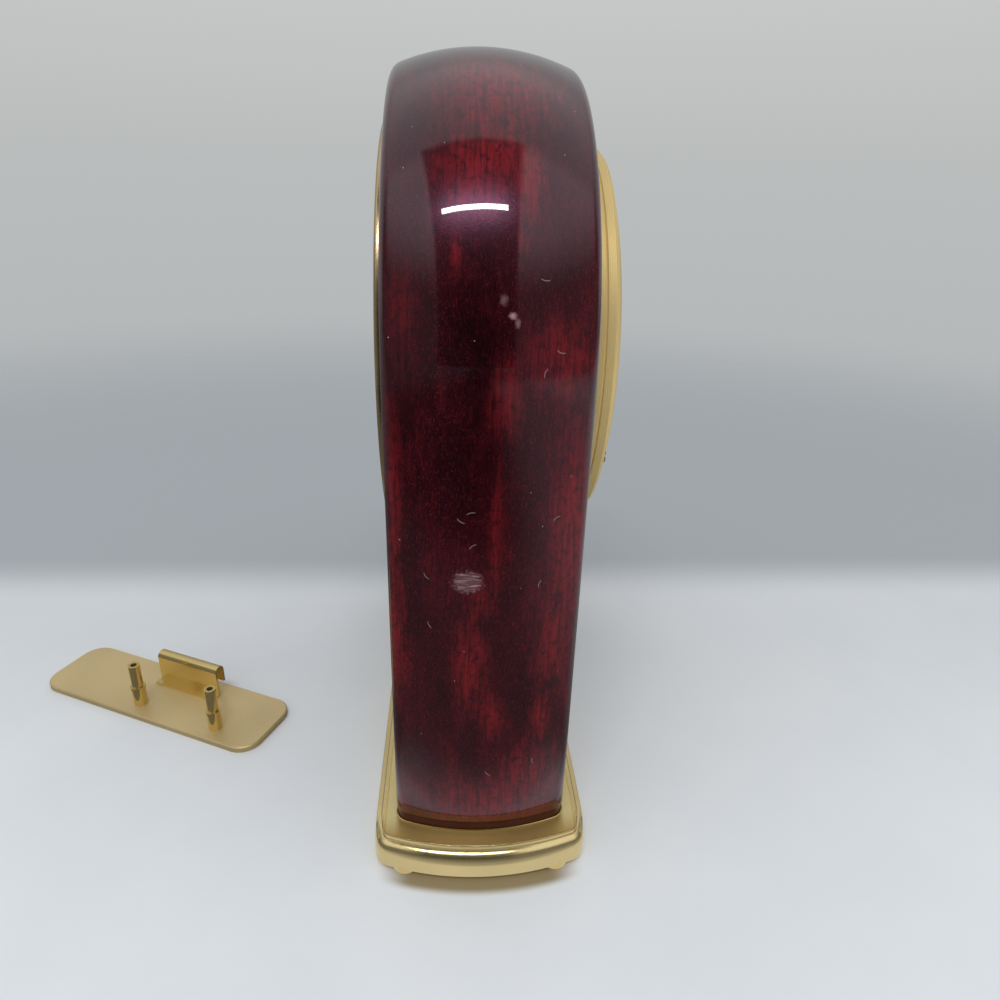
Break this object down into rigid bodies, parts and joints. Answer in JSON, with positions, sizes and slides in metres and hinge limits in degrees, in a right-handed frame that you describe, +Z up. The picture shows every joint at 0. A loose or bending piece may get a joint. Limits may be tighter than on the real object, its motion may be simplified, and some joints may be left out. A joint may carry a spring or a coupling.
{
  "type": "desk clock",
  "caption": "Arched lacquered desk alarm clock on a gilt base plate, with its movement, controls behind and the battery hatch lying beside it.",
  "frame": {"origin": "on the table, under the middle of the base plate", "axes": "+X across the dial to its right as seen from the front, +Y to the back, +Z up; the dial looks towards -Y"},
  "size_m": [0.078, 0.0912, 0.0989],
  "materials": {
    "red_lacquer": "high gloss marbled lacquer",
    "satin_gold": "satin gilt",
    "polished_gold": "polished gilt",
    "hatch_gold": "matt gilt",
    "gold_screw": "satin gilt",
    "crystal_glass": "clear",
    "black_rubber": "matte",
    "dial_white": "satin off-white",
    "hand_black": "satin black",
    "moulded_black": "moulded",
    "nylon_white": "moulded",
    "brass_plate": "brushed",
    "steel": "bright",
    "cell_steel": "bright",
    "contact_strip": "nickel plated",
    "copper_wire": "enamelled",
    "board_green": "solder mask",
    "lead_insulation": "insulated wire"
  },
  "bodies": {
    "case": {"base_plate": "satin_gold", "base_feet": "polished_gold", "foot_collar": "polished_gold", "case_shell": "red_lacquer", "case_screws": "steel", "front_bezel": "polished_gold", "crystal": "crystal_glass", "crystal_gasket": "black_rubber", "dial_ring": "satin_gold", "dial": "dial_white", "hour_markers": "polished_gold", "movement_holder": "moulded_black", "front_plate": "brass_plate", "rear_plate": "brass_plate", "movement_pillars": "brass_plate", "movement_screws": "steel", "stator": "steel", "coil_core": "steel", "coil": "copper_wire", "circuit_board": "board_green", "quartz_can": "steel", "chip": "moulded_black", "buzzer": "moulded_black", "switch_body": "moulded_black", "back_cover": "satin_gold", "back_cover_screws": "gold_screw", "battery_holder": "moulded_black", "holder_screws": "steel", "battery": "cell_steel", "plus_contact": "contact_strip", "minus_contact": "contact_strip", "battery_leads": "lead_insulation", "hatch_plate": "hatch_gold", "hatch_posts": "polished_gold", "hatch_clip": "polished_gold"},
    "time_setting": {"time_stem": "steel", "time_knob": "polished_gold"},
    "minute_arbor": {"cannon_pinion": "steel", "minute_hand": "hand_black"},
    "minute_reducer": {"minute_wheel": "brass_plate"},
    "hour_pipe": {"hour_wheel": "brass_plate", "hour_hand": "hand_black"},
    "alarm_setting": {"alarm_stem": "steel", "alarm_knob": "polished_gold"},
    "alarm_pipe": {"alarm_wheel": "brass_plate", "alarm_hand": "polished_gold"},
    "motor_rotor": {"rotor": "steel"},
    "intermediate_arbor": {"intermediate_wheel": "nylon_white"},
    "seconds_arbor": {"seconds_wheel": "nylon_white"},
    "third_arbor": {"third_wheel": "nylon_white"},
    "centre_ring": {"centre_wheel": "brass_plate"},
    "switch_slider": {"alarm_switch": "moulded_black"}
  },
  "joints": [
    {"name": "time_knob_turn", "type": "hinge", "parent": "case", "child": "time_setting", "pos_m": [0.0075, 0, 0.06347], "axis": [0, 1, 0], "continuous": true},
    {"name": "minute_hand_turn", "type": "hinge", "parent": "case", "child": "minute_arbor", "pos_m": [0, 0, 0.06347], "axis": [0, 1, 0], "continuous": true},
    {"name": "minute_wheel_turn", "type": "hinge", "parent": "case", "child": "minute_reducer", "pos_m": [0.00375, 0, 0.06815], "axis": [0, 1, 0], "continuous": true},
    {"name": "hour_hand_turn", "type": "hinge", "parent": "case", "child": "hour_pipe", "pos_m": [0, 0, 0.06347], "axis": [0, 1, 0], "continuous": true},
    {"name": "alarm_knob_turn", "type": "hinge", "parent": "case", "child": "alarm_setting", "pos_m": [-0.0075, 0, 0.06347], "axis": [0, 1, 0], "continuous": true},
    {"name": "alarm_hand_turn", "type": "hinge", "parent": "case", "child": "alarm_pipe", "pos_m": [0, 0, 0.06347], "axis": [0, 1, 0], "continuous": true},
    {"name": "rotor_turn", "type": "hinge", "parent": "case", "child": "motor_rotor", "pos_m": [0.00206, 0, 0.04924], "axis": [0, 1, 0], "continuous": true},
    {"name": "intermediate_turn", "type": "hinge", "parent": "case", "child": "intermediate_arbor", "pos_m": [0.00638, 0, 0.04924], "axis": [0, 1, 0], "continuous": true},
    {"name": "seconds_turn", "type": "hinge", "parent": "case", "child": "seconds_arbor", "pos_m": [0.00638, 0, 0.05554], "axis": [0, 1, 0], "continuous": true},
    {"name": "third_turn", "type": "hinge", "parent": "case", "child": "third_arbor", "pos_m": [0, 0, 0.05667], "axis": [0, 1, 0], "continuous": true},
    {"name": "centre_turn", "type": "hinge", "parent": "case", "child": "centre_ring", "pos_m": [0, 0, 0.06347], "axis": [0, 1, 0], "continuous": true},
    {"name": "alarm_switch_slide", "type": "slide", "parent": "case", "child": "switch_slider", "axis": [1, 0, 0], "range_m": [0, 0.003]}
  ],
  "couplings": [
    {"joint": "minute_hand_turn", "follows": "time_knob_turn", "ratio": 1},
    {"joint": "minute_wheel_turn", "follows": "time_knob_turn", "ratio": -0.33333},
    {"joint": "hour_hand_turn", "follows": "time_knob_turn", "ratio": 0.083333},
    {"joint": "alarm_hand_turn", "follows": "alarm_knob_turn", "ratio": -0.66667},
    {"joint": "intermediate_turn", "follows": "rotor_turn", "ratio": -0.2},
    {"joint": "seconds_turn", "follows": "rotor_turn", "ratio": 0.033333},
    {"joint": "third_turn", "follows": "rotor_turn", "ratio": -0.0041667},
    {"joint": "centre_turn", "follows": "rotor_turn", "ratio": 0.00055556}
  ]
}
